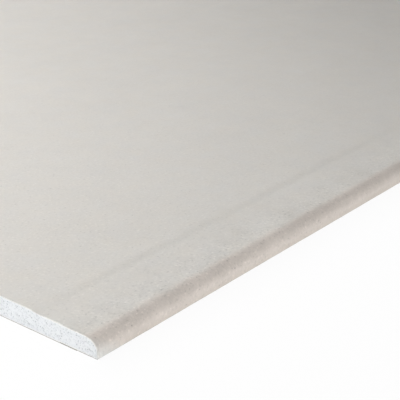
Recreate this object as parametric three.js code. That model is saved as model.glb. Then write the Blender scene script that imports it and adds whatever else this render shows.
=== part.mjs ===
// A drywall sheet: a white gypsum core between two papers.
//
// The face paper covers the face, wraps round both long edges and folds in under the back.
// The back paper covers the back and laps over the two folds. Both ends are sawn square,
// so the core and the thin papers show there.
//
// Millimetres, +Z up. X runs along the length and Y across the width. The sheet lies on
// its back, with the origin under its middle.
import * as THREE from 'three';

// ---- Overall size ----
const sheetLength = 2500;
const sheetWidth = 1200;
const sheetThickness = 12.5;
const facePaperThickness = 0.3;
const backPaperThickness = 0.3;

// ---- Tapered long edge: a shallow bed for joint tape and filler ----
const taperWidth = 50; // from the long edge to where the flat face begins
const stepWidth = 9; // the curved step down on the inner side of the bed
const stepDrop = 0.7; // how far the face falls in that step
const bedDrop = 0.3; // how far it falls from the step to the nose

// ---- Half-round nose: a quarter ellipse from the bed down to the upright flank ----
const noseReach = 9; // how far in from the long edge the round starts
const flankTop = 4.5; // height above the back where the round ends and the flank begins

// ---- Underside of the edge ----
const footRadius = 0.8; // rounded corner where the flank turns under the back
const foldShown = 15; // how far in from the long edge the folded paper stays in view
const lapWidth = 12; // how much more of the fold lies hidden under the back paper

// ---- Facets of the round stretches ----
const footFacets = 6;
const noseFacets = 16;
const bedFacets = 6;
const stepFacets = 10;

// ---- Finishes ----
const facePaperFinish = { color: 0xd2cec7, roughness: 0.9, metalness: 0 };
const backPaperFinish = { color: 0xa9a59b, roughness: 0.95, metalness: 0 };
const coreFinish = { color: 0xeceff0, roughness: 1, metalness: 0 };

// Heights and distances that follow from the sizes above.
const bedTop = sheetThickness - stepDrop; // the foot of the step
const noseTop = bedTop - bedDrop;
const foldWidth = foldShown + lapWidth;

// The section of one long edge is walked from the end of the fold, round the foot and the
// nose and up to the flat face. A station holds the distance in from the long edge, the
// height above the back, and the heading of the walk, which keeps the sheet on its right.

function station(distance, height, heading) {
  return { distance, height, heading };
}

function steps(facets) {
  return Array.from({ length: facets + 1 }, (_, i) => i / facets);
}

function footStations() {
  const centreHeight = backPaperThickness + footRadius;
  return steps(footFacets).map((t) => {
    const angle = -Math.PI / 2 * (1 + t);
    return station(
      footRadius * (1 + Math.cos(angle)),
      centreHeight + footRadius * Math.sin(angle),
      angle - Math.PI / 2,
    );
  });
}

function noseStations() {
  const noseHeight = noseTop - flankTop;
  return steps(noseFacets).map((t) => {
    const angle = t * Math.PI / 2;
    const heading = Math.atan2(noseHeight * Math.cos(angle), noseReach * Math.sin(angle));
    return station(
      noseReach * (1 - Math.cos(angle)),
      flankTop + noseHeight * Math.sin(angle),
      heading,
    );
  });
}

// A soft S between two heights, level at both of its ends.
function rampStations(from, to, facets) {
  const run = to.distance - from.distance;
  const rise = to.height - from.height;
  return steps(facets).slice(1).map((t) => station(
    from.distance + run * t,
    from.height + rise * t * t * (3 - 2 * t),
    Math.atan2(rise * 6 * t * (1 - t), run),
  ));
}

function edgeStations() {
  const foldEnd = station(foldWidth, backPaperThickness, Math.PI);
  const noseStart = station(noseReach, noseTop, 0);
  const stepFoot = station(taperWidth - stepWidth, bedTop, 0);
  const faceStart = station(taperWidth, sheetThickness, 0);
  return [
    foldEnd,
    ...footStations(),
    ...noseStations(),
    ...rampStations(noseStart, stepFoot, bedFacets),
    ...rampStations(stepFoot, faceStart, stepFacets),
  ];
}

// The line of the whole section, from one fold's end over the face to the other, at a
// depth below the outside of the face paper. Depth 0 is the outside of the paper, and the
// paper's thickness is the line where the paper meets the core.
function wrapLine(depth) {
  const half = edgeStations().map(({ distance, height, heading }) => new THREE.Vector2(
    distance + depth * Math.sin(heading) - sheetWidth / 2,
    height - depth * Math.cos(heading),
  ));
  const mirrored = half.map((point) => new THREE.Vector2(-point.x, point.y)).reverse();
  return [...half, ...mirrored];
}

function facePaperSection() {
  return [...wrapLine(0), ...wrapLine(facePaperThickness).reverse()];
}

function coreSection() {
  const foldEnd = sheetWidth / 2 - foldWidth;
  return [
    new THREE.Vector2(-foldEnd, backPaperThickness),
    ...wrapLine(facePaperThickness),
    new THREE.Vector2(foldEnd, backPaperThickness),
  ];
}

function backPaperSection() {
  const paperEdge = sheetWidth / 2 - foldShown;
  return [
    new THREE.Vector2(-paperEdge, 0),
    new THREE.Vector2(-paperEdge, backPaperThickness),
    new THREE.Vector2(paperEdge, backPaperThickness),
    new THREE.Vector2(paperEdge, 0),
  ];
}

// Runs a section, drawn across the width and up, along the whole length of the sheet.
function runAlongLength(name, section, finish) {
  const geometry = new THREE.ExtrudeGeometry(new THREE.Shape(section), {
    depth: sheetLength,
    bevelEnabled: false,
  });
  geometry.translate(0, 0, -sheetLength / 2);
  const across = new THREE.Vector3(0, 1, 0);
  const up = new THREE.Vector3(0, 0, 1);
  const along = new THREE.Vector3(1, 0, 0);
  geometry.applyMatrix4(new THREE.Matrix4().makeBasis(across, up, along));
  const mesh = new THREE.Mesh(geometry, new THREE.MeshStandardMaterial(finish));
  mesh.name = name;
  return mesh;
}

const sheet = new THREE.Group();
sheet.name = 'drywall_sheet';
sheet.add(runAlongLength('gypsum_core', coreSection(), coreFinish));
sheet.add(runAlongLength('face_paper', facePaperSection(), facePaperFinish));
sheet.add(runAlongLength('back_paper', backPaperSection(), backPaperFinish));

export default sheet;
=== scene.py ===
# %% [markdown]
# # A sheet of drywall
#
# A drywall sheet is a plate of foamed gypsum that has set hard between two papers. The mill pours
# wet gypsum onto a running web of face paper, turns the web's edges up and over the pour, and
# lays a second web on top for the back. A saw then cuts the endless board to length. So the long
# edges are rounded and wrapped in paper, and only the two sawn ends show what is inside.
#
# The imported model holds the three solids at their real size. This lesson adds what a solid
# modeller leaves out: the open pores of a sawn end, the slight waves of a paper edge that was
# folded wet, the ragged rim that the saw leaves, and papers that look like paper.

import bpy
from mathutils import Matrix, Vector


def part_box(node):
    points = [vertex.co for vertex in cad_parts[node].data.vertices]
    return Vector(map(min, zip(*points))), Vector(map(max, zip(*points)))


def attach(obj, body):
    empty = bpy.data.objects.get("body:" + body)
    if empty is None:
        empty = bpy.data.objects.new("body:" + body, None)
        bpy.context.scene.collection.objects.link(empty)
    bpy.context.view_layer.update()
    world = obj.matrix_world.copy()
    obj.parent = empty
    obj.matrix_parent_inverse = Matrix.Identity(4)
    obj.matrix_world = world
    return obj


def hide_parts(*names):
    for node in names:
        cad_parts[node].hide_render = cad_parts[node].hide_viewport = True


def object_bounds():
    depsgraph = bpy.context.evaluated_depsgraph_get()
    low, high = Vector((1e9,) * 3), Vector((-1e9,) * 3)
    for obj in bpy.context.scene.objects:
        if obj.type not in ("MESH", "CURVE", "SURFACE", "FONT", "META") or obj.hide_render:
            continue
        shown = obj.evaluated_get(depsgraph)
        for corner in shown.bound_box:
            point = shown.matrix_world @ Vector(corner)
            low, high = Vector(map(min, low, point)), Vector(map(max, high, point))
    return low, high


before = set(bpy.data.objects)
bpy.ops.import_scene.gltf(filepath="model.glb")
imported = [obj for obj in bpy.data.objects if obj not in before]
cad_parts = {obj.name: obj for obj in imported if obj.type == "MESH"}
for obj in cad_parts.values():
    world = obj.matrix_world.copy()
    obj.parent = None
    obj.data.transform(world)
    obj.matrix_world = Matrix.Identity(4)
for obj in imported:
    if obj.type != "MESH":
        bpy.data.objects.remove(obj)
cad_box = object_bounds()
print("the sheet's box, in metres:", [round(side, 4) for side in cad_box[1] - cad_box[0]])

# %% [markdown]
# ## The sizes that everything hangs on
#
# The sheet's sizes could be typed in again here, but they would drift apart from the model as
# soon as it changes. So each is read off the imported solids: how far the sheet reaches and how
# thick its papers are. The long edge is widest on its upright flank, and the flank's middle
# parts an end's upper outline from its lower one.

# %% Read the sizes off the solids
import math
import random

import bmesh
import bpy
from mathutils import Matrix, Vector, noise

millimetre = 0.001
half_length = cad_box[1].x
half_width = cad_box[1].y
thickness = cad_box[1].z
paper_thickness = half_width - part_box("gypsum_core")[1].y
flank_middle = 3.1 * millimetre
print("paper", round(paper_thickness / millimetre, 2), "mm")
print("sheet", round(thickness / millimetre, 2), "mm")

# %% [markdown]
# ## The camera
#
# A whole sheet seen from afar is a thin grey line. The telling place is a corner, where the
# wrapped long edge meets a sawn end, so the camera stands close to one corner, a little above
# it, and looks along the sheet. It could be aimed by eye with two angles and a distance, but a
# frame of three directions is exact: back out of the lens, to its right, and up.

# %% Stand the camera at the corner
near_corner = Vector((cad_box[0].x, cad_box[0].y, 0.0))
camera_from_corner = Vector((-0.3381, -0.3409, 0.2921))
view_azimuth = math.radians(-50.84)
view_elevation = math.radians(23.23)
sensor_width = 36.0
lens_in_picture_widths = 2.78

back = Vector((math.sin(view_azimuth) * math.cos(view_elevation),
               -math.cos(view_azimuth) * math.cos(view_elevation),
               math.sin(view_elevation)))
right = Vector((math.cos(view_azimuth), math.sin(view_azimuth), 0.0))
up = back.cross(right)

camera_data = bpy.data.cameras.new("corner_camera")
camera_data.sensor_width = sensor_width
camera_data.lens = sensor_width * lens_in_picture_widths
camera = bpy.data.objects.new("corner_camera", camera_data)
bpy.context.scene.collection.objects.link(camera)
turn = Matrix((right, up, back)).transposed()
camera.matrix_world = Matrix.Translation(near_corner + camera_from_corner) @ turn.to_4x4()
bpy.context.scene.camera = camera
bpy.context.scene.view_settings.view_transform = "Standard"
print("camera", round(camera_from_corner.length, 3), "m from the corner, lens", camera_data.lens, "mm")

# %% [markdown]
# ## Helpers for node materials
#
# A material here is a small tree of nodes. These helpers lay one node each and join it to the
# ones before, so a finish further down reads as a short recipe. Every pattern starts from
# Object coordinates, which are metres on the sheet, so a scale of 1000 means one grain a
# millimetre wherever the pattern runs. They stay with the sheet, whichever way it is looked at.
#
# Soft noise swings to both sides alike, but a handled surface doesn't: it is even nearly all
# over, and then has a few clear marks. A cube does that to a swing around 0, because it
# flattens the middle and keeps the ends.

# %% Small tools that lay nodes
def new_finish(name, roughness, specular):
    """A material with a Principled shader, and its tree."""
    material = bpy.data.materials.new(name)
    material.use_nodes = True
    shader = material.node_tree.nodes["Principled BSDF"]
    shader.inputs["Roughness"].default_value = roughness
    shader.inputs["Specular IOR Level"].default_value = specular
    return material, material.node_tree, shader


def lay(tree, kind, **settings):
    """One node of a kind, with its own settings."""
    node = tree.nodes.new(kind)
    for key, value in settings.items():
        setattr(node, key, value)
    return node


def place_on_sheet(tree, stretch=(1.0, 1.0, 1.0)):
    """Object coordinates, stretched along the sheet's own directions."""
    where = lay(tree, "ShaderNodeTexCoord")
    mapping = lay(tree, "ShaderNodeMapping")
    mapping.inputs["Scale"].default_value = stretch
    tree.links.new(where.outputs["Object"], mapping.inputs["Vector"])
    return mapping.outputs["Vector"]


def grain(tree, place, scale, detail=2.0, roughness=0.5, distortion=0.0):
    """Soft noise from 0 to 1, about scale grains a metre."""
    node = lay(tree, "ShaderNodeTexNoise")
    node.inputs["Scale"].default_value = scale
    node.inputs["Detail"].default_value = detail
    node.inputs["Roughness"].default_value = roughness
    node.inputs["Distortion"].default_value = distortion
    tree.links.new(place, node.inputs["Vector"])
    return node.outputs["Fac"]


def cells(tree, place, scale, randomness=1.0):
    """The distance from the nearest of many scattered points."""
    node = lay(tree, "ShaderNodeTexVoronoi")
    node.inputs["Scale"].default_value = scale
    node.inputs["Randomness"].default_value = randomness
    tree.links.new(place, node.inputs["Vector"])
    return node.outputs["Distance"]


def spread(tree, value, low, high, to_low=0.0, to_high=1.0, smooth=False):
    """Stretch low..high of a value to to_low..to_high, and clip beyond."""
    node = lay(tree, "ShaderNodeMapRange", clamp=True)
    if smooth:
        node.interpolation_type = "SMOOTHSTEP"
    ends = {"From Min": low, "From Max": high, "To Min": to_low, "To Max": to_high}
    for key, number in ends.items():
        node.inputs[key].default_value = number
    tree.links.new(value, node.inputs["Value"])
    return node.outputs["Result"]


def reckon(tree, operation, first, second=None):
    """A Math node on sockets or numbers."""
    node = lay(tree, "ShaderNodeMath", operation=operation)
    for slot, term in enumerate((first, second)):
        if term is None:
            continue
        if isinstance(term, (int, float)):
            node.inputs[slot].default_value = term
        else:
            tree.links.new(term, node.inputs[slot])
    return node.outputs["Value"]


def total(tree, first, *others):
    """The sum of some sockets and numbers."""
    for other in others:
        first = reckon(tree, "ADD", first, other)
    return first


def product(tree, first, *others):
    """Some sockets and numbers multiplied together."""
    for other in others:
        first = reckon(tree, "MULTIPLY", first, other)
    return first


def plus_minus(tree, pattern, amount):
    """Soft noise turned into a swing of an amount to both sides."""
    return spread(tree, pattern, 0.25, 0.75, -amount, amount)


def rare_marks(tree, pattern, swing):
    """A pattern cubed: near 0 almost everywhere, with a few marks, the dark ones stronger."""
    centred = spread(tree, pattern, 0.20, 0.71, -1.0, 0.7)
    return product(tree, centred, centred, centred, swing)


def blend_colours(tree, share, base, other, way="MIX"):
    """Mix a second colour into a first by a share from 0 to 1."""
    node = lay(tree, "ShaderNodeMix", data_type="RGBA", blend_type=way)
    if isinstance(share, (int, float)):
        node.inputs["Factor"].default_value = share
    else:
        tree.links.new(share, node.inputs["Factor"])
    colour_inputs = [socket for socket in node.inputs if socket.type == "RGBA"]
    for socket, colour in zip(colour_inputs, (base, other)):
        if isinstance(colour, tuple):
            socket.default_value = (*colour, 1.0)
        else:
            tree.links.new(colour, socket)
    return [socket for socket in node.outputs if socket.type == "RGBA"][0]


def raise_surface(tree, shader, height, distance, before=None):
    """A Bump node: height of 1 stands distance metres proud."""
    node = lay(tree, "ShaderNodeBump")
    node.inputs["Distance"].default_value = distance
    tree.links.new(height, node.inputs["Height"])
    if before is not None:
        tree.links.new(before, node.inputs["Normal"])
    tree.links.new(node.outputs["Normal"], shader.inputs["Normal"])
    return node.outputs["Normal"]


print("helpers ready")

# %% [markdown]
# ## Working copies of the solids
#
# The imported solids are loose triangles, right in size but with no order to their faces. They
# must stay as they are, so each is copied before it is dressed. A copy has its doubled corners
# merged and its flat triangles dissolved, and then every surface is one clean face again, ready
# to be cut where detail is wanted.

# %% Copy a solid and merge its triangles
def merged_copy(node):
    """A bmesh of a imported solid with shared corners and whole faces."""
    shape = bmesh.new()
    shape.from_mesh(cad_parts[node].data)
    bmesh.ops.remove_doubles(shape, verts=shape.verts[:], dist=0.002 * millimetre)
    bmesh.ops.dissolve_limit(shape, angle_limit=math.radians(0.05),
                             verts=shape.verts[:], edges=shape.edges[:])
    return shape


def is_at(vertex, x):
    """True where a vertex lies on the cross-section at x."""
    return abs(vertex.co.x - x) < 0.01 * millimetre


def ripple(*place, seed=0.0):
    """Seeded soft noise from -1 to 1. A place is given in wave lengths."""
    spot = Vector((*place, 0.0, 0.0)[:3])
    return noise.noise(spot + Vector((seed * 17.3, seed * 5.9, seed * 31.7)))


def dress(name, shape, node, finish):
    """Turn a bmesh into the finished piece that stands for a solid."""
    mesh = bpy.data.meshes.new(name)
    shape.to_mesh(mesh)
    shape.free()
    mesh.materials.append(finish)
    piece = bpy.data.objects.new(name, mesh)
    bpy.context.scene.collection.objects.link(piece)
    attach(piece, "root")
    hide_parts(node)
    mesh.calc_loop_triangles()
    print(name, "has", len(mesh.loop_triangles), "triangles")


# %% [markdown]
# ## The gypsum core
#
# The core is gypsum that was whipped with foam before it set, so it is full of small round
# bubbles. A saw opens them: the end is a white, slightly uneven wall, freckled with pits of half
# a millimetre to two. A pattern painted on a flat face would look right from one side only, and
# the rim would stay dead straight. So the wall is a fine grid whose points are pushed in where a
# bubble was cut, and the grid is then drawn out along the sheet to make the core behind it.
#
# The grid must fill the core's own outline. Its columns are spaced evenly over the width and
# crowd together towards the round edges, and its rows share out the height of each column.

# %% Read the core's outline
solid_core = merged_copy("gypsum_core")
outline = sorted({(round(v.co.y, 7), round(v.co.z, 7)) for v in solid_core.verts if v.co.x < 0})
solid_core.free()
upper_line = [point for point in outline if point[1] > flank_middle]
lower_line = [point for point in outline if point[1] < flank_middle]
lower_line.sort(key=lambda point: (point[0], math.copysign(point[1], point[0])))
core_half_width = upper_line[-1][0]
print("the outline has", len(upper_line), "points above and", len(lower_line), "below")


def height_on(line, y):
    """The height of an outline at y, straight between its points."""
    for (y0, z0), (y1, z1) in zip(line, line[1:]):
        if y <= y1:
            return z0 + (z1 - z0) * (y - y0) / max(y1 - y0, 1e-9)
    return line[-1][1]


# %% Spread a grid over a sawn end
round_edge = 9.0 * millimetre
round_columns = 26
flat_columns = 2080
rows = 21


def column_place(index):
    """The y of a grid column. Columns follow the quarter round near both long edges."""
    last = flat_columns + 2 * round_columns
    mirrored = index > last // 2
    step = last - index if mirrored else index
    inner = core_half_width - round_edge
    if step < round_columns:
        y = inner + round_edge * math.cos(math.pi / 2 * step / round_columns)
    else:
        y = inner * (1 - 2 * (step - round_columns) / flat_columns)
    return y if mirrored else -y


core = bmesh.new()
pore_layer = core.verts.layers.float.new("pore")
skin_layer = core.verts.layers.float.new("near_paper")
columns = flat_columns + 2 * round_columns
bmesh.ops.create_grid(core, x_segments=columns, y_segments=rows, size=1.0)
column_y = [column_place(index) for index in range(columns + 1)]
column_low = [height_on(lower_line, y) for y in column_y]
column_high = [height_on(upper_line, y) for y in column_y]
grid_spot = {}
for vertex in core.verts:
    column = round((vertex.co.x + 1) / 2 * columns)
    row = round((vertex.co.y + 1) / 2 * rows)
    low, high = column_low[column], column_high[column]
    vertex.co = Vector((-half_length, column_y[column], low + (high - low) * row / rows))
    grid_spot[vertex.co.y, vertex.co.z] = column, row
print("the end's grid has", len(core.faces), "faces")

# %% Draw the grid out along the sheet
drawn = bmesh.ops.extrude_face_region(core, geom=core.faces[:])
far_end = [part for part in drawn["geom"] if isinstance(part, bmesh.types.BMVert)]
bmesh.ops.translate(core, verts=far_end, vec=(2 * half_length, 0, 0))
bmesh.ops.recalc_face_normals(core, faces=core.faces[:])
for face in core.faces:
    face.smooth = abs(face.normal.x) > 0.5
print("the core is closed:", all(edge.is_manifold for edge in core.edges),
      "and holds", round(core.calc_volume() * 1000, 2), "litres")

# %% [markdown]
# The extrusion lays its long side faces in an order that changes from run to run. The shape is
# the same, but its file is not. So the faces are sorted by place, with a weight for each
# direction, chosen so that no two faces weigh the same.

# %% Sort the core's faces
sorting_weights = (1.0, 0.01, 0.1)
core.faces.sort(key=lambda face: face.calc_center_median().dot(sorting_weights))
weights = [face.calc_center_median().dot(sorting_weights) for face in core.faces]
print("faces in order:", all(lighter < heavier for lighter, heavier in zip(weights, weights[1:])))

# %% [markdown]
# ## Opening the bubbles
#
# Each wall gets its own seeded scatter of pits, so both ends differ and yet come out the same on
# every run. Most bubbles are as small as the grid, and one pushed-in point makes a good one.
# The bigger ones are bowls that take in a few points. The slurry foams less where it was rolled
# against the papers, so the pits thin out there and the rim stays dense and white. The rim
# itself is worn back by a tenth of a millimetre, and chipped here and there, because the saw
# crumbles the gypsum where the paper leaves it.
#
# All depths in this step are in millimetres, as a maker would speak of them.

# %% Scatter pits over a wall
fine_pit_share = 0.19
fine_pit_depth = (0.08, 0.34)
crumb_height = 0.03
bubble_count = 800
bubble_radius = (0.35, 0.85)
bowl_share = 0.35


def roof_slope(column):
    """How steeply the upper outline falls at a column."""
    before, after = max(column - 1, 0), min(column + 1, columns)
    run = column_y[after] - column_y[before]
    return abs(column_high[after] - column_high[before]) / run


def rim_distance(column, y, z):
    """How far inside the outline a grid point lies, in millimetres, near enough."""
    below_top = (column_high[column] - z) / math.hypot(1.0, roof_slope(column))
    above_foot = z - column_low[column]
    return min(below_top, above_foot, core_half_width - abs(y)) / millimetre


def pits_of_wall(seed):
    """The depth of every grid point of one wall, in millimetres."""
    chance = random.Random(seed)
    depth = [[0.0] * (rows + 1) for _ in range(columns + 1)]
    row_step = (thickness - 2 * paper_thickness) / rows / millimetre
    column_step = 2 * (core_half_width - round_edge) / flat_columns / millimetre
    for column in range(1, columns):
        for row in range(1, rows):
            if chance.random() < fine_pit_share:
                depth[column][row] = chance.uniform(*fine_pit_depth)
            depth[column][row] += chance.gauss(0.0, crumb_height)
    for _ in range(bubble_count):
        middle_column = chance.uniform(round_columns, columns - round_columns)
        middle_row = chance.uniform(1.2, rows - 1.2)
        low, high = bubble_radius
        radius = low + (high - low) * chance.random() ** 3
        reach = int(radius / column_step) + 1
        for column in range(int(middle_column) - reach, int(middle_column) + reach + 2):
            for row in range(max(1, int(middle_row) - reach), min(rows, int(middle_row) + reach + 2)):
                across = (column - middle_column) * column_step
                upward = (row - middle_row) * row_step
                left = radius ** 2 - across ** 2 - upward ** 2
                if left > 0:
                    depth[column][row] += bowl_share * math.sqrt(left)
    return depth


foot_wear = 0.085
least_wear = 0.075
more_wear_on_top = 0.045
chip_depth = 0.55


def worn_rim(column, row, y, seed):
    """How far the outline itself is worn back, in millimetres: most on top, least on the nose."""
    if row == 0:
        return foot_wear
    slope = roof_slope(column)
    worn = least_wear + more_wear_on_top * (1 - slope) / math.hypot(1.0, slope)
    ragged = ripple(y / 0.006, seed=seed) + 0.5 * ripple(y / 0.0018, seed=seed + 3)
    chipped = max(0.0, ragged - 0.30) * chip_depth
    return worn + chipped * max(0.0, 1 - 3 * slope)


print("fine pits a wall:", round(fine_pit_share * rows * columns), "and bubbles:", bubble_count)

# %% Push the grid points in
dense_skin = 0.45
shade_full_depth = 0.35
saw_wave = 2.4 * millimetre
saw_depth = 0.03
swell_depth = 0.06
jitter = 0.14 * millimetre
for side, seed in ((-1, 11), (1, 12)):
    depth = pits_of_wall(seed)
    chance = random.Random(seed + 100)
    wall = [vertex for vertex in core.verts if is_at(vertex, side * half_length)]
    for vertex in wall:
        y, z = vertex.co.y, vertex.co.z
        column, row = grid_spot[y, z]
        near_rim = math.exp(-rim_distance(column, y, z) / dense_skin)
        vertex[skin_layer] = near_rim
        pit = depth[column][row] * (1 - 0.6 * near_rim)
        # The pore value is a painted shade: it greys each pit for the shade of its depth.
        vertex[pore_layer] = max(-0.3, min(1.0, pit / shade_full_depth))
        saw = 0.5 + 0.5 * ripple(y / saw_wave, z / 0.03, seed=seed)
        swell = 0.5 + 0.5 * ripple(y / 0.013, z / 0.009, seed=seed + 1)
        sunk = pit + saw_depth * saw + swell_depth * swell
        inner = 0 < row < rows and 0 < column < columns
        if not inner:
            sunk += worn_rim(column, row, y, seed)
        loose = jitter if inner else 0.0
        vertex.co.x = side * (half_length - sunk * millimetre)
        vertex.co.y += chance.uniform(-loose, loose)
        vertex.co.z += chance.uniform(-loose, loose)
    mean_pore = sum(vertex[pore_layer] for vertex in wall) / len(wall)
    print("wall", side, "mean pore", round(mean_pore, 3))

# %% [markdown]
# ## The finish of sawn gypsum
#
# Gypsum is a matt, slightly bluish white. The pits are shaded by their own shape, but at half a
# millimetre most of their dark is the shade of depth that no grid can hold. So the same pit
# values that pushed the points in also paint that shade on them in grey, and a finer scatter of
# cells paints the shade of the pores below the size of the grid. Next to the paper the slurry is
# denser, with hardly a pore, and the paper's size has tinted it a warmer white, with a painted
# highlight along the rim that makes it paler still. Mills set the slurry harder along the long
# edges, so that they take a knock. Towards them the grey clouds fade and the pale skin shows
# more: that is painted light, which lifts the end near the corner, where the lamps light it less.

# %% Mix the gypsum
gypsum_white = (0.910, 0.929, 0.944)
gypsum_cloud = (0.850, 0.877, 0.903)
pore_shade_grey = (0.42, 0.44, 0.47)
skin_and_highlight_white = (0.970, 0.965, 0.940)
cloud_share = 0.80
pit_shade = 0.38
fine_pore_shade = 0.74
crumb_relief = 0.10 * millimetre
gypsum, tree, shader = new_finish("sawn_gypsum", 0.95, 0.15)
place = place_on_sheet(tree)
pits = lay(tree, "ShaderNodeAttribute", attribute_name="pore").outputs["Fac"]
skin = lay(tree, "ShaderNodeAttribute", attribute_name="near_paper").outputs["Fac"]
clouds = spread(tree, grain(tree, place, 130.0, 3.0, 0.55, 1.2), 0.42, 0.68, 0.25, 1.0)
across = lay(tree, "ShaderNodeSeparateXYZ")
tree.links.new(place, across.inputs["Vector"])
from_middle = reckon(tree, "ABSOLUTE", across.outputs["Y"])
# Paler towards the long edges: painted light that lifts the end near the corner.
edge_light_from, edge_light_full = 70.0 * millimetre, 12.0 * millimetre
painted_edge_light = spread(tree, from_middle, half_width - edge_light_from, half_width - edge_light_full)
clouds = product(tree, clouds, spread(tree, painted_edge_light, 0.0, 1.0, 1.0, 0.15))
colour = blend_colours(tree, product(tree, clouds, cloud_share), gypsum_white, gypsum_cloud)
fine_pores = spread(tree, cells(tree, place, 800.0), 0.20, 0.38, 1.0, 0.0, smooth=True)
patchy = spread(tree, grain(tree, place, 420.0), 0.34, 0.58)
fine_pores = product(tree, fine_pores, patchy)
# The pits and the finer pores are painted grey for the shade of their depth.
shaded_pits = product(tree, pits, pit_shade)
painted_pore_shade = reckon(tree, "MAXIMUM", shaded_pits, product(tree, fine_pores, fine_pore_shade))
painted_pore_shade = product(tree, painted_pore_shade, spread(tree, skin, 0.0, 1.0, 1.0, 0.25))
colour = blend_colours(tree, painted_pore_shade, colour, pore_shade_grey)
edge_light_share = spread(tree, painted_edge_light, 0.2, 0.9, 0.45, 0.95)
# The pale skin is partly the denser gypsum and partly a painted highlight along the rim.
skin_and_highlight = product(tree, spread(tree, skin, 0.08, 0.70), edge_light_share)
colour = blend_colours(tree, skin_and_highlight, colour, skin_and_highlight_white)
tree.links.new(colour, shader.inputs["Base Color"])
crumbs = grain(tree, place, 2600.0, 4.0, 0.65)
height = reckon(tree, "SUBTRACT", product(tree, crumbs, 0.5), fine_pores)
raise_surface(tree, shader, height, crumb_relief)
dress("sawn_gypsum_core", core, "gypsum_core", gypsum)

# %% [markdown]
# ## The face paper
#
# The face paper is one web, about 0.3 mm thick. It covers the face, dips into the bed for the
# joint tape, rolls over the half-round nose and folds in under the back. It could be an
# extruded line with a Solidify modifier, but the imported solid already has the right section,
# fold and all, so a merged copy is cut finer. A strip of 0.4 mm is parted off at each end
# first, because the saw frays only the last bit of the paper.

# %% Copy the wrap and part off the sawn rims
rim_width = 0.4 * millimetre
wrap = merged_copy("face_paper")
rim_layer = wrap.verts.layers.float.new("sawn_rim")
caps = [face for face in wrap.faces if abs(face.normal.x) > 0.9]
bmesh.ops.delete(wrap, geom=caps, context="FACES")
for side in (-1, 1):
    whole = wrap.verts[:] + wrap.edges[:] + wrap.faces[:]
    bmesh.ops.bisect_plane(wrap, geom=whole, dist=0.0001 * millimetre,
                           plane_co=(side * (half_length - rim_width), 0, 0), plane_no=(1, 0, 0))
print("the open wrap has", len(wrap.faces), "faces")


# %% Find the outside of the wrap
def faces_out(face):
    """True where a face looks away from the middle of the sheet."""
    middle = face.calc_center_median()
    reach = half_width - round_edge
    spine_y = max(-reach, min(reach, middle.y))
    outward = Vector((0.0, middle.y - spine_y, middle.z - thickness / 2))
    return face.normal.dot(outward) > 0.05 * millimetre


outside = [face for face in wrap.faces if faces_out(face)]
long_edges = [edge for edge in wrap.edges
              if edge.calc_length() > half_length and any(faces_out(face) for face in edge.link_faces)]
print("outside faces", len(outside), "long edges", len(long_edges))

# %% Cut the long facets into short ones
facets_along = 1000
bmesh.ops.subdivide_edges(wrap, edges=long_edges, cuts=facets_along - 1, use_grid_fill=True)
print("after the long cuts:", len(wrap.faces), "faces")

# %% [markdown]
# ## Fraying the sawn rim
#
# A saw tears the last fibres of the paper, so a sawn rim is a soft, pale, ragged line. To show
# that in the shape itself, the two outlines of the rim, outside and inside, are walked from
# fold to fold, and each stretch is cut to pieces of about 0.6 mm. The same number of pieces
# inside and outside lets a bridge close the cut face of the paper with plain quads. The thin
# edge of the fold itself, and the end faces, belong to neither outline and are passed over.

# %% Walk an outline from fold to fold
least_fold = 20.0 * millimetre


def walk(edges):
    """Sort the edges of one open chain, starting from its -Y end."""
    meeting = {}
    for edge in edges:
        for vertex in edge.verts:
            meeting.setdefault(vertex, []).append(edge)
    here = min((v for v, own in meeting.items() if len(own) == 1), key=lambda v: v.co.y)
    order = []
    left = set(edges)
    while left:
        edge = next(each for each in meeting[here] if each in left)
        left.remove(edge)
        order.append(edge)
        here = edge.other_vert(here)
    return order


def section_chains(x):
    """The outside and inside chains of the wrap's section at x, each in order."""
    chains = ([], [])
    for edge in wrap.edges:
        if is_at(edge.verts[0], x) and is_at(edge.verts[1], x):
            beside = edge.link_faces[0]
            on_end = all(is_at(vertex, x) for vertex in beside.verts)
            inside_fold = abs(edge.verts[0].co.y) < half_width - least_fold
            on_fold_edge = abs(beside.normal.y) > 0.99 and inside_fold
            if not on_end and not on_fold_edge:
                chains[0 if faces_out(beside) else 1].append(edge)
    return [walk(chain) for chain in chains]


# %% Cut the rims fine
rim_piece = 0.6 * millimetre
for side in (-1, 1):
    rim_x = side * half_length
    strip_x = side * (half_length - rim_width)
    stretches = zip(*section_chains(rim_x), *section_chains(strip_x))
    for stretch in list(stretches):
        cuts = round(stretch[0].calc_length() / rim_piece) - 1
        if cuts > 0:
            bmesh.ops.subdivide_edges(wrap, edges=list(stretch), cuts=cuts, use_grid_fill=True)
    outer, inner = section_chains(rim_x)
    bmesh.ops.bridge_loops(wrap, edges=outer + inner)
    print("rim", side, "outside", len(outer), "inside", len(inner), "faces", len(wrap.faces))
bmesh.ops.recalc_face_normals(wrap, faces=wrap.faces[:])
print("the wrap is closed:", all(edge.is_manifold for edge in wrap.edges),
      "and holds", round(wrap.calc_volume() * 1000, 3), "litres")

# %% [markdown]
# ## Waves and a wandering step
#
# Paper folded wet over a soft core never lies dead flat. Along the nose and the bed it waves by
# a few hundredths of a millimetre, too little to measure and enough to make the light ripple.
# The waves fade out on the flat face, which the mill rolls true. A texture could bend the light
# alone, but the outline would stay straight, so the points themselves are moved. Three soft
# noises of different wave lengths keep the waves from looking regular.

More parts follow.
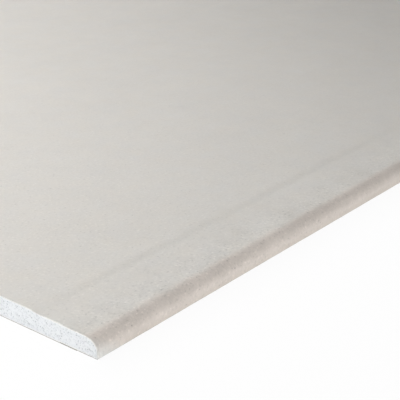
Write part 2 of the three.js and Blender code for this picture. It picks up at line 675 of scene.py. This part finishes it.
# %% Wave the long edges
wave_fade = (54.0 * millimetre, 34.0 * millimetre)
wave_height = 0.12 * millimetre
outer_skin = {vertex for face in wrap.faces if faces_out(face) for vertex in face.verts}
wrap.normal_update()
for vertex in outer_skin:
    in_from_edge = half_width - abs(vertex.co.y)
    fade = (wave_fade[0] - in_from_edge) / (wave_fade[0] - wave_fade[1])
    if fade <= 0 or vertex.co.z < 0.4 * millimetre:
        continue
    x, y, z = vertex.co
    wave = 0.55 * ripple(x / 0.034, y / 0.012, z / 0.008, seed=21)
    wave += 0.45 * ripple(x / 0.012, y / 0.007, z / 0.005, seed=22)
    wave += 0.35 * ripple(x / 0.110, y / 0.030, z / 0.012, seed=23)
    vertex.co += vertex.normal * wave * wave_height * min(1.0, fade)
print("points of the outer skin:", len(outer_skin))

# %% [markdown]
# The step between the face and the bed is pressed by a thin strip that runs under the web while
# the core is still soft, so its line wanders by a millimetre or so from side to side. Here its
# points slide across the sheet by a soft noise of their X, and keep their heights. The slide
# grows from nothing in the bed to its full width at the step, so that no facet is squeezed, and
# it fades out towards the sawn ends, where the core's outline must still fit under the paper.

# %% Let the step wander
wander_width = 2.4 * millimetre
wander_from, wander_full = 18.0 * millimetre, 34.0 * millimetre
wander_fade = 30.0 * millimetre
wandering = 0
for vertex in outer_skin:
    x, y, z = vertex.co
    in_from_edge = half_width - abs(y)
    if in_from_edge < wander_from or z < thickness / 2:
        continue
    share = min(1.0, (in_from_edge - wander_from) / (wander_full - wander_from))
    share *= min(1.0, (half_length - abs(x)) / wander_fade)
    wander = ripple(x / 0.030, y / 0.5, seed=24) + 0.6 * ripple(x / 0.011, y / 0.5, seed=25)
    vertex.co.y += math.copysign(wander * wander_width * share, y)
    wandering += 1
print("points of the step that wander:", wandering)

# %% [markdown]
# At the rim the outer ply is pressed down and torn back a little further than the inner one, so
# the paper's cut face tips outwards and catches the light. The same value that marks the rim's
# points for this also tells the finish where the paper is torn.

# %% Tear the rims
outer_press = 0.07 * millimetre
outer_tear = (0.05, 0.18)
inner_tear = (0.02, 0.08)
for side in (-1, 1):
    for vertex in wrap.verts:
        if is_at(vertex, side * half_length):
            along = vertex.co.y + vertex.co.z
            torn = 0.5 + 0.5 * ripple(along / 0.0017, seed=31 + side)
            torn += 0.5 * max(0.0, ripple(along / 0.0060, seed=34 + side) - 0.35)
            vertex[rim_layer] = 1.0
            least, more = inner_tear
            if vertex in outer_skin:
                least, more = outer_tear
                vertex.co -= vertex.normal * outer_press * torn
            vertex.co.x = side * (half_length - (least + more * torn) * millimetre)
        elif is_at(vertex, side * (half_length - rim_width)) and vertex in outer_skin:
            vertex[rim_layer] = 0.15 + 0.25 * ripple(vertex.co.y / 0.003, seed=37 + side)

# %% Shade the bends softly and the flat plainly
flat_reach = max(abs(v.co.y) for v in wrap.verts if v.co.z > thickness - 0.001 * millimetre)
for face in wrap.faces:
    on_flat = abs(face.calc_center_median().y) < flat_reach / 2 and len(face.verts) == 4
    face.smooth = not (on_flat and abs(face.normal.z) > 0.99)
for edge in wrap.edges:
    edge.smooth = len(edge.link_faces) == 2 and edge.calc_face_angle() < math.radians(40)
print("the flat face reaches", round(flat_reach, 4), "m to each side")

# %% [markdown]
# ## The finish of the face paper
#
# Face paper is pressed from recycled pulp: a warm light grey with no print and no gloss. Seen
# close, it is a felt of short fibres that lie mostly along the web. Seen from further off it is
# lightly clouded, with long faint streaks that the rolls leave. One noise can't be all of that,
# so the finish adds up a handful, from fibres under a millimetre to clouds of six centimetres,
# each of them weak. All of them are laid first, with the distances that tell them where to act.

# %% Lay the grains of the face paper
face_finish, tree, shader = new_finish("face_paper", 0.90, 0.20)
place = place_on_sheet(tree)
lying_fibres = place_on_sheet(tree, stretch=(0.35, 1.0, 1.0))
rolled = place_on_sheet(tree, stretch=(0.015, 1.0, 1.0))
fibres = grain(tree, lying_fibres, 1500.0, 3.0, 0.6)
pulp = grain(tree, place, 620.0, 2.0, 0.5)
wrinkles = grain(tree, place, 290.0, 2.0, 0.6, 0.6)
mottle = grain(tree, place, 85.0, 3.0, 0.6)
broad = grain(tree, place, 35.0, 2.0, 0.5)
clouding = grain(tree, place, 16.0, 2.0, 0.5)
streaks = grain(tree, rolled, 120.0, 2.0, 0.5)
print("seven grains laid")

# %% [markdown]
# Wear isn't even. A sheet is carried by its long edges and set down on its corners, so the bed
# and the nose near an end are marked the most, and the middle of the face is nearly as it left
# the mill. Distances from the edge, the end and the corner say where a spot lies. The sheet is
# alike on both sides of its middle, so the plain size of X and Y, without a sign, serves all
# four edges at once.

# %% Measure from the edge, the end and the corner
worked_edge = (14.0 * millimetre, 42.0 * millimetre)
carried_end = (0.10, 0.50)
corner_reach = (0.12, 0.50)
across = lay(tree, "ShaderNodeSeparateXYZ")
tree.links.new(place, across.inputs["Vector"])
height_up = across.outputs["Z"]
off_middle = reckon(tree, "ABSOLUTE", across.outputs["Y"])
along = reckon(tree, "ABSOLUTE", across.outputs["X"])
from_edge = reckon(tree, "SUBTRACT", half_width, off_middle)
from_end = reckon(tree, "SUBTRACT", half_length, along)
squares = total(tree, reckon(tree, "POWER", from_edge, 2.0), reckon(tree, "POWER", from_end, 2.0))
from_corner = reckon(tree, "SQRT", squares)
edge_zone = spread(tree, from_edge, *worked_edge, 1.0, 0.0, smooth=True)
edge_zone = product(tree, edge_zone, spread(tree, from_end, *carried_end, 1.0, 0.35))
handled = spread(tree, edge_zone, 0.0, 1.0, 0.24, 1.0)
dented = reckon(tree, "MAXIMUM", edge_zone, spread(tree, from_corner, *corner_reach, 0.46, 0.10))
print("the worked edge is", round(worked_edge[1] / millimetre), "mm wide")

# %% [markdown]
# The grains are first summed into a tone around 1, which the colour is multiplied by later.
# That keeps light and dark apart from the tint, and each of the two can be set alone. On top of
# the nose by the corner the tone is darkened a little: a painted shade that deepens the dark
# band where the nose turns away from the lamps.

# %% Set how light each spot is
painted_shade = 0.035
shade_edge = (12.0 * millimetre, 30.0 * millimetre)
shade_end = (4.0 * millimetre, 45.0 * millimetre)
shade_height = (4.5 * millimetre, 7.0 * millimetre)
tone = total(tree, plus_minus(tree, fibres, 0.010), 1.0)
for pattern, amount in ((pulp, 0.008), (clouding, 0.006), (streaks, 0.004)):
    tone = total(tree, tone, plus_minus(tree, pattern, amount))
patches = plus_minus(tree, wrinkles, 0.024)
for pattern, amount in ((mottle, 0.036), (broad, 0.064)):
    patches = total(tree, patches, plus_minus(tree, pattern, amount))
patches = total(tree, patches, rare_marks(tree, wrinkles, 0.13))
dents = product(tree, rare_marks(tree, pulp, 0.50), dented)
tone = total(tree, tone, product(tree, patches, handled), dents)
# A painted shade darkens the top of the nose by the corner.
shaded_nose = product(tree, spread(tree, from_edge, *shade_edge, 1.0, 0.0),
                 spread(tree, from_end, *shade_end, 1.0, 0.0))
shaded_nose = product(tree, shaded_nose, spread(tree, height_up, *shade_height))
tone = reckon(tree, "SUBTRACT", tone, product(tree, shaded_nose, painted_shade))
print("the grime by a corner takes", round(100 * painted_shade, 1), "percent off the tone")

# %% [markdown]
# The pulp is a mix, so its tint drifts between a warmer and a cooler grey. Over the nose the
# paper was wetted and rubbed by the forming shoes, which leaves it a shade browner. That band
# has a wavering border, because water spreads unevenly. Close to a sawn end the brown is
# scuffed off again in a short wedge that is longest at the foot. A few brown fibres of old
# cardboard lie scattered in the pulp.

# %% Tint the paper
warm_grey = (0.675, 0.645, 0.596)
cool_grey = (0.660, 0.645, 0.617)
nose_beige = (0.661, 0.603, 0.553)
scuffed_grey = (0.672, 0.665, 0.644)
fleck_brown = (0.36, 0.32, 0.27)
nose_from, nose_full = 11.5 * millimetre, 4.2 * millimetre
waver = 1.2 * millimetre
wedge_length = (8.0 * millimetre, 26.0 * millimetre)
wedge_slant = 2.0
warmth = spread(tree, grain(tree, place, 55.0, 3.0, 0.7), 0.20, 0.80)
colour = blend_colours(tree, warmth, cool_grey, warm_grey)
wavering = total(tree, off_middle, plus_minus(tree, mottle, waver))
on_nose = spread(tree, wavering, half_width - nose_from, half_width - nose_full, smooth=True)
colour = blend_colours(tree, on_nose, colour, nose_beige)
wedge = total(tree, from_end, product(tree, height_up, wedge_slant))
wedge = total(tree, wedge, plus_minus(tree, mottle, 3.0 * millimetre))
scuffed = product(tree, on_nose, spread(tree, wedge, *wedge_length, 0.9, 0.0))
colour = blend_colours(tree, scuffed, colour, scuffed_grey)
colour = blend_colours(tree, 1.0, colour, tone, way="MULTIPLY")
flecks = spread(tree, cells(tree, lying_fibres, 200.0), 0.035, 0.060, 1.0, 0.0, smooth=True)
flecks = product(tree, flecks, spread(tree, from_corner, *corner_reach, 0.36, 0.12))
colour = blend_colours(tree, flecks, colour, fleck_brown)
print("the brown band starts", round(nose_from / millimetre, 1), "mm from the edge")

# %% [markdown]
# The saw bruises the last two millimetres of the paper, and on the torn rim itself it bares
# the paler plies inside. A painted highlight makes that rim paler still, as a cut face that
# catches the light. Close to the floor the rim is painted dark instead of pale: a painted shade
# that leaves the thin dark line that is seen under a sheet.

# %% Pale the torn rim
torn_ply_highlight = (0.92, 0.915, 0.885)
bruise_grey = (0.30, 0.28, 0.26)
foot_shade_grey = (0.28, 0.28, 0.27)
bruise_from, bruise_full = 1.8 * millimetre, 0.4 * millimetre
foot_shade_height = (0.4 * millimetre, 1.6 * millimetre)
frayed = total(tree, along, plus_minus(tree, wrinkles, 0.4 * millimetre))
bruised = spread(tree, frayed, half_length - bruise_from, half_length - bruise_full, 0.0, 0.05)
colour = blend_colours(tree, bruised, colour, bruise_grey)
sawn = lay(tree, "ShaderNodeAttribute", attribute_name="sawn_rim").outputs["Fac"]
sawn = total(tree, sawn, plus_minus(tree, fibres, 0.25))
# The pale rim is partly the paler plies and partly a painted highlight on the cut face.
pale_rim = spread(tree, sawn, 0.50, 0.95, 0.0, 0.9)
# Near the floor the rim gets a painted shade: the dark line under the sheet.
off_floor = spread(tree, height_up, *foot_shade_height, 0.1, 1.0)
foot_shade = product(tree, pale_rim, reckon(tree, "SUBTRACT", 1.0, off_floor))
colour = blend_colours(tree, product(tree, pale_rim, off_floor), colour, torn_ply_highlight)
colour = blend_colours(tree, foot_shade, colour, foot_shade_grey)
tree.links.new(colour, shader.inputs["Base Color"])
print("dust lies on a rim up to", round(foot_shade_height[1] / millimetre, 1), "mm from the floor")

# %% [markdown]
# Two bumps go on top, both finer than the mesh and too shallow to show in an outline, which is
# what bump is for. The felt is the fibres themselves. The buckles are the soft dents of paper
# that shrank as it dried: less than a tenth of a millimetre deep, and clearest at the edge.

# %% Raise the felt and the buckles
felt_height = 0.020 * millimetre
buckle_height = 0.30 * millimetre
buckle_middle = 0.675
felt = total(tree, product(tree, fibres, 0.5), product(tree, pulp, 0.5))
felt = product(tree, felt, spread(tree, from_corner, 0.15, 0.60, 1.0, 0.3))
normal = raise_surface(tree, shader, felt, felt_height)
buckles = total(tree, product(tree, mottle, 0.8), product(tree, wrinkles, 0.55))
buckles = product(tree, reckon(tree, "SUBTRACT", buckles, buckle_middle), handled)
buckles = total(tree, buckles, product(tree, rare_marks(tree, pulp, 0.40), dented))
raise_surface(tree, shader, buckles, buckle_height, before=normal)
tree.links.new(spread(tree, fibres, 0.25, 0.75, 0.84, 0.95), shader.inputs["Roughness"])
dress("wrapped_face_paper", wrap, "face_paper", face_finish)

# %% [markdown]
# ## The back paper
#
# The back paper is a second web of the same weight that is laid on last, over the two folds.
# It is only a rectangle, and its sawn rims are torn like those of the face paper. A grid would
# do for it, but a merged copy already has the right size, place and laps, so only its ends are
# cut fine.

# %% Cut and tear the back paper
backing = merged_copy("back_paper")
back_rim_layer = backing.verts.layers.float.new("sawn_rim")
for side in (-1, 1):
    whole = backing.verts[:] + backing.edges[:] + backing.faces[:]
    bmesh.ops.bisect_plane(backing, geom=whole, dist=0.0001 * millimetre,
                           plane_co=(side * (half_length - rim_width), 0, 0), plane_no=(1, 0, 0))
cross_edges = [edge for edge in backing.edges
               if abs(edge.verts[0].co.y - edge.verts[1].co.y) > half_width]
back_cuts = round(cross_edges[0].calc_length() / rim_piece) - 1
bmesh.ops.subdivide_edges(backing, edges=cross_edges, cuts=back_cuts, use_grid_fill=True)
for side in (-1, 1):
    for vertex in backing.verts:
        if is_at(vertex, side * half_length):
            torn = 0.5 + 0.5 * ripple(vertex.co.y / 0.0019, vertex.co.z / 0.0004, seed=41 + side)
            torn += 0.6 * max(0.0, ripple(vertex.co.y / 0.0070, seed=44 + side) - 0.3)
            vertex[back_rim_layer] = 1.0
            vertex.co.x = side * (half_length - (0.03 + 0.20 * torn) * millimetre)
bmesh.ops.recalc_face_normals(backing, faces=backing.faces[:])
print("the back paper has", len(backing.faces), "faces and is closed:",
      all(edge.is_manifold for edge in backing.edges))

# %% [markdown]
# ## The finish of the back paper
#
# The back paper is made from the cheaper mix: greyer and browner, rougher to the touch, with
# coarse fibres and dark specks that nobody bleached out. The recipe is that of the face paper
# with bigger and stronger grains.

# %% Mix the back paper
back_grey_brown = (0.400, 0.378, 0.335)
back_light_fibre = (0.56, 0.53, 0.47)
back_speck = (0.16, 0.14, 0.12)
back_torn_ply = (0.46, 0.44, 0.40)
back_finish, tree, shader = new_finish("back_paper", 0.93, 0.15)
place = place_on_sheet(tree)
lying_fibres = place_on_sheet(tree, stretch=(0.30, 1.0, 1.0))
coarse = grain(tree, lying_fibres, 900.0, 4.0, 0.65)
blotch = grain(tree, place, 45.0, 3.0, 0.55)
light_fibres = spread(tree, coarse, 0.48, 0.72, 0.0, 0.6)
colour = blend_colours(tree, light_fibres, back_grey_brown, back_light_fibre)
shade = total(tree, plus_minus(tree, blotch, 0.06), 1.0)
colour = blend_colours(tree, 1.0, colour, shade, way="MULTIPLY")
specks = spread(tree, cells(tree, lying_fibres, 330.0), 0.08, 0.14, 1.0, 0.0, smooth=True)
colour = blend_colours(tree, product(tree, specks, 0.5), colour, back_speck)
sawn = lay(tree, "ShaderNodeAttribute", attribute_name="sawn_rim").outputs["Fac"]
colour = blend_colours(tree, spread(tree, sawn, 0.5, 1.0, 0.0, 0.8), colour, back_torn_ply)
tree.links.new(colour, shader.inputs["Base Color"])
raise_surface(tree, shader, coarse, 0.06 * millimetre)
dress("lapped_back_paper", backing, "back_paper", back_finish)

# %% [markdown]
# ## The studio
#
# A pale floor and a white world set the sheet off. To the camera both are plain white, through
# the Light Path node. For the light they are an ordinary painted floor and a dim room, so the
# white does not flood the sheet. The floor keeps a share of its own shading, and with it the
# soft shadow that seats the sheet.

# %% Lay the floor and light the room
floor_paint = (0.92, 0.92, 0.92)
floor_glow_share = 0.95
room_level = 0.10


def seen_directly(tree):
    """1 for a ray from the camera, or off a gloss or through glass, and 0 for the rest."""
    path = lay(tree, "ShaderNodeLightPath")
    shown = reckon(tree, "MAXIMUM", path.outputs["Is Glossy Ray"], path.outputs["Is Transmission Ray"])
    return reckon(tree, "MAXIMUM", path.outputs["Is Camera Ray"], shown)


floor_finish, tree, shader = new_finish("studio_floor", 0.95, 0.0)
shader.inputs["Base Color"].default_value = (*floor_paint, 1.0)
glow = lay(tree, "ShaderNodeEmission")
mix = lay(tree, "ShaderNodeMixShader")
tree.links.new(product(tree, seen_directly(tree), floor_glow_share), mix.inputs["Fac"])
tree.links.new(shader.outputs["BSDF"], mix.inputs[1])
tree.links.new(glow.outputs["Emission"], mix.inputs[2])
tree.links.new(mix.outputs["Shader"], tree.nodes["Material Output"].inputs["Surface"])

floor_shape = bmesh.new()
bmesh.ops.create_grid(floor_shape, x_segments=1, y_segments=1, size=40.0)
bmesh.ops.translate(floor_shape, verts=floor_shape.verts[:], vec=(0, 0, -0.05 * millimetre))
floor_mesh = bpy.data.meshes.new("studio_floor")
floor_shape.to_mesh(floor_mesh)
floor_shape.free()
floor_mesh.materials.append(floor_finish)
floor = bpy.data.objects.new("studio_floor", floor_mesh)
bpy.context.scene.collection.objects.link(floor)

world = bpy.data.worlds.new("studio_room")
bpy.context.scene.world = world
world.use_nodes = True
tree = world.node_tree
room = tree.nodes["Background"]
room.inputs["Color"].default_value = (1.0, 1.0, 1.0, 1.0)
room.inputs["Strength"].default_value = room_level
white = lay(tree, "ShaderNodeBackground")
white.inputs["Color"].default_value = (1.0, 1.0, 1.0, 1.0)
mix = lay(tree, "ShaderNodeMixShader")
tree.links.new(seen_directly(tree), mix.inputs["Fac"])
tree.links.new(room.outputs["Background"], mix.inputs[1])
tree.links.new(white.outputs["Background"], mix.inputs[2])
tree.links.new(mix.outputs["Shader"], tree.nodes["World Output"].inputs["Surface"])
print("room light", room_level)

# %% [markdown]
# ## The lamps
#
# The light comes over the far left of the corner, low enough to rake the bed and to darken the
# round of the nose. Low lamps in front keep the upright flank readable, and a small one close
# by brightens the sawn end. Each lamp is a square softbox, hung by its bearing, its height angle
# and its distance from the corner. A honeycomb in front of a box, as studios use, narrows its
# beam: the narrower it is, the less light strays, and the stronger it is straight ahead.

# %% Make a softbox
lamp_pivot = near_corner + Vector((0.10, 0.05, 0.0))
lamp_aim = near_corner + Vector((0.25, 0.20, 0.0))


def softbox(name, place, aim, size, power, honeycomb=180.0):
    """A square softbox at a place, turned to face an aim."""
    light = bpy.data.lights.new(name, "AREA")
    light.size = size
    light.energy = power
    light.spread = math.radians(honeycomb)
    lamp = bpy.data.objects.new(name, light)
    bpy.context.scene.collection.objects.link(lamp)
    lamp.location = place
    lamp.rotation_euler = (aim - place).to_track_quat("-Z", "Y").to_euler()
    lamp.visible_camera = False


def hang(name, bearing, height_angle, distance, size, power, honeycomb=180.0):
    """A softbox placed by two angles in degrees and a distance from the pivot."""
    turn, tilt = math.radians(bearing), math.radians(height_angle)
    level = math.cos(tilt)
    direction = Vector((math.cos(turn) * level, math.sin(turn) * level, math.sin(tilt)))
    softbox(name, lamp_pivot + direction * distance, lamp_aim, size, power, honeycomb)


# %% Hang the lamps round the corner
hang("key_side", 140, 35, 1.0, 0.50, 4.4)
hang("key_high", 150, 50, 0.8, 0.40, 1.95)
hang("back_wide", 95, 30, 1.6, 0.60, 3.4)
hang("back_narrow", 80, 30, 1.6, 0.60, 0.7, honeycomb=60.0)
hang("back_low", 80, 20, 2.4, 0.80, 1.6, honeycomb=40.0)
hang("front_right", 300, 10, 1.0, 0.30, 1.3)
hang("front_low", 265, 4, 0.8, 0.10, 3.1)
hang("end_low", 197, 11, 0.17, 0.04, 0.0036)
print("eight lamps round the corner")

# %% [markdown]
# Lamps round one corner leave the far part of so long a sheet in the dark. So four more boxes
# hang right over it, each with a honeycomb of its own, and the face reads as pale paper from
# every side. They aim a little past the spot below them, further along the sheet.

# %% Hang four boxes over the rest of the sheet
overhead_size = 0.6
aim_past = Vector((0.10, -0.05, 0.0))
overhead = (
    ("over_middle", (-0.05, 0.50, 1.6), 3.45, 70.0),
    ("over_front", (0.25, -0.40, 1.0), 1.5, 70.0),
    ("over_far_front", (1.15, -0.40, 1.0), 1.45, 70.0),
    ("over_far_back", (1.15, 0.50, 1.0), 2.85, 100.0),
)
for name, (x, y, z), power, honeycomb in overhead:
    below = Vector((x, y, 0.0)) + aim_past
    softbox(name, Vector((x, y, z)), below, overhead_size, power, honeycomb)
print("four boxes overhead")
